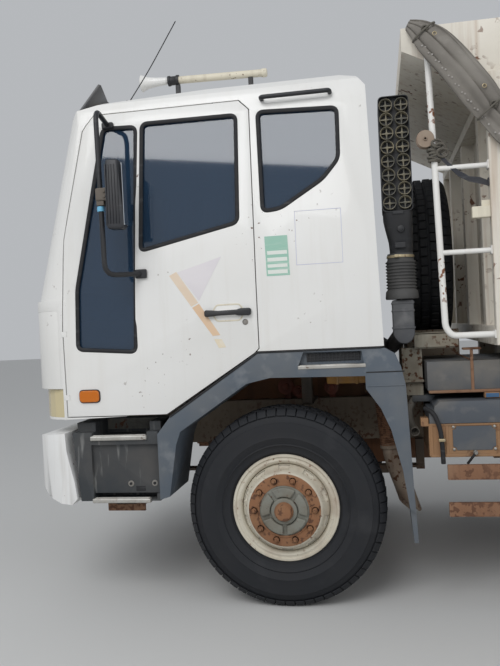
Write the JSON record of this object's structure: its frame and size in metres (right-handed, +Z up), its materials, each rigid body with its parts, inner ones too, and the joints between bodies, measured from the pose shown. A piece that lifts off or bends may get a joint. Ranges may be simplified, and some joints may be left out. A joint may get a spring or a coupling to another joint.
{
  "type": "three-axle tipper truck",
  "caption": "Cab-over tipper truck with a ribbed steel load body, forward canopy, tilting cab, steered front wheels and twin-tyred tandem rear axles.",
  "frame": {"origin": "on the ground, at the middle of the whole truck's box", "axes": "+X forward, +Y the truck's left, +Z up"},
  "size_m": [7.8, 2.95, 3.3428],
  "materials": {
    "tyre": "matt black rubber",
    "rim": "chipped cream paint with rust",
    "cab_paint": "weathered warm white gloss",
    "glass": "dark tinted",
    "body_paint": "worn white paint with rust",
    "black_plastic": "black",
    "step_plastic": "weathered charcoal",
    "guard_plastic": "blue grey, faded",
    "seat_fabric": "dark woven",
    "tarp_fabric": "dusty grey canvas",
    "bumper_paint": "white",
    "lamp": "clear and amber",
    "rod": "oiled steel",
    "rust": "brown, rusted",
    "tank_paint": "dusty grey",
    "cast": "oily and rusty",
    "frame_paint": "dusty brown grey"
  },
  "bodies": {
    "chassis": {"frame_rails": "frame_paint", "cross_members": "frame_paint", "subframe": "frame_paint", "front_axle": "cast", "rear_axles": "cast", "bogie_springs": "cast", "engine": "cast", "exhaust": "rust", "intake_duct": "black_plastic", "bumper": "bumper_paint", "lamps": "lamp", "step_panels": "step_plastic", "mudguards": "guard_plastic", "side_boxes": "guard_plastic", "tanks": "tank_paint", "guard_bars": "rust", "spare_tyre": "tyre", "spare_rim": "rim"},
    "cab": {"cab_shell": "cab_paint", "cab_floor": "cab_paint", "cab_front": "cab_paint", "cab_glass": "glass", "grille": "black_plastic", "corner_lamps": "lamp", "roof_fittings": "black_plastic", "intake_panel": "black_plastic", "seats": "seat_fabric", "dashboard": "black_plastic"},
    "left_door": {"door_left": "cab_paint", "door_glass_left": "glass", "mirror_left": "black_plastic"},
    "right_door": {"door_right": "cab_paint", "door_glass_right": "glass", "mirror_right": "black_plastic"},
    "left_knuckle": {"knuckle_left": "cast"},
    "right_knuckle": {"knuckle_right": "cast"},
    "steering_rod": {"tie_rod": "cast"},
    "wheel_front_left": {"tyre_front_left": "tyre", "rim_front_left": "rim"},
    "wheel_front_right": {"tyre_front_right": "tyre", "rim_front_right": "rim"},
    "wheels_rear_1_left": {"tyres_rear_1_left": "tyre", "rims_rear_1_left": "rim"},
    "wheels_rear_1_right": {"tyres_rear_1_right": "tyre", "rims_rear_1_right": "rim"},
    "wheels_rear_2_left": {"tyres_rear_2_left": "tyre", "rims_rear_2_left": "rim"},
    "wheels_rear_2_right": {"tyres_rear_2_right": "tyre", "rims_rear_2_right": "rim"},
    "load_body": {"body_floor": "body_paint", "body_sides": "body_paint", "body_front": "body_paint", "ladder": "body_paint", "tarpaulin": "tarp_fabric"},
    "tailgate": {"tailgate": "body_paint"},
    "barrel": {"hoist_barrel": "cast"},
    "stage_1": {"hoist_stage_1": "rod"},
    "stage_2": {"hoist_stage_2": "rod"},
    "rod": {"hoist_rod": "rod"}
  },
  "joints": [
    {"name": "steer_left", "type": "hinge", "parent": "chassis", "child": "left_knuckle", "pos_m": [2.35, 0.9, 0.55], "axis": [0, 0, 1], "range_deg": [-35, 35]},
    {"name": "steer_right", "type": "hinge", "parent": "chassis", "child": "right_knuckle", "pos_m": [2.35, -0.9, 0.55], "axis": [0, 0, 1], "range_deg": [-35, 35]},
    {"name": "rod_pivot", "type": "hinge", "parent": "left_knuckle", "child": "steering_rod", "pos_m": [2.14, 0.9, 0.41], "axis": [0, 0, 1], "range_deg": [-35, 35]},
    {"name": "roll_front_left", "type": "hinge", "parent": "left_knuckle", "child": "wheel_front_left", "pos_m": [2.35, 1.045, 0.55], "axis": [0, 1, 0], "continuous": true},
    {"name": "roll_front_right", "type": "hinge", "parent": "right_knuckle", "child": "wheel_front_right", "pos_m": [2.35, -1.045, 0.55], "axis": [0, 1, 0], "continuous": true},
    {"name": "roll_rear_1_left", "type": "hinge", "parent": "chassis", "child": "wheels_rear_1_left", "pos_m": [-0.95, 0.925, 0.55], "axis": [0, 1, 0], "continuous": true},
    {"name": "roll_rear_1_right", "type": "hinge", "parent": "chassis", "child": "wheels_rear_1_right", "pos_m": [-0.95, -0.925, 0.55], "axis": [0, 1, 0], "continuous": true},
    {"name": "roll_rear_2_left", "type": "hinge", "parent": "chassis", "child": "wheels_rear_2_left", "pos_m": [-2.3, 0.925, 0.55], "axis": [0, 1, 0], "continuous": true},
    {"name": "roll_rear_2_right", "type": "hinge", "parent": "chassis", "child": "wheels_rear_2_right", "pos_m": [-2.3, -0.925, 0.55], "axis": [0, 1, 0], "continuous": true},
    {"name": "cab_tilt", "type": "hinge", "parent": "chassis", "child": "cab", "pos_m": [3.75, 0, 1.03], "axis": [0, 1, 0], "range_deg": [0, 55]},
    {"name": "door_left_open", "type": "hinge", "parent": "cab", "child": "left_door", "pos_m": [3.548, 1.239, 1.5], "axis": [0, 0, -1], "range_deg": [0, 68]},
    {"name": "door_right_open", "type": "hinge", "parent": "cab", "child": "right_door", "pos_m": [3.548, -1.239, 1.5], "axis": [0, 0, 1], "range_deg": [0, 68]},
    {"name": "body_tip", "type": "hinge", "parent": "chassis", "child": "load_body", "pos_m": [-3.33, 0, 1.25], "axis": [0, -1, 0], "range_deg": [0, 50]},
    {"name": "gate_swing", "type": "hinge", "parent": "load_body", "child": "tailgate", "pos_m": [-3.8625, 0, 2.74], "axis": [0, 1, 0], "range_deg": [0, 75]},
    {"name": "hoist_swing", "type": "hinge", "parent": "chassis", "child": "barrel", "pos_m": [-1.685, 0, 0.96], "axis": [0, -1, 0], "range_deg": [0, 21.87]},
    {"name": "hoist_slide_1", "type": "slide", "parent": "barrel", "child": "stage_1", "axis": [0, 0, 1], "range_m": [0, 0.45315]},
    {"name": "hoist_slide_2", "type": "slide", "parent": "stage_1", "child": "stage_2", "axis": [0, 0, 1], "range_m": [0, 0.45315]},
    {"name": "hoist_slide_3", "type": "slide", "parent": "stage_2", "child": "rod", "axis": [0, 0, 1], "range_m": [0, 0.45315]}
  ],
  "couplings": [
    {"joint": "steer_right", "follows": "steer_left", "ratio": 1},
    {"joint": "rod_pivot", "follows": "steer_left", "ratio": -1},
    {"joint": "hoist_swing", "follows": "body_tip", "ratio": 0.43738},
    {"joint": "hoist_slide_1", "follows": "body_tip", "m_per_rad": 0.51927},
    {"joint": "hoist_slide_2", "follows": "body_tip", "m_per_rad": 0.51927},
    {"joint": "hoist_slide_3", "follows": "body_tip", "m_per_rad": 0.51927}
  ]
}
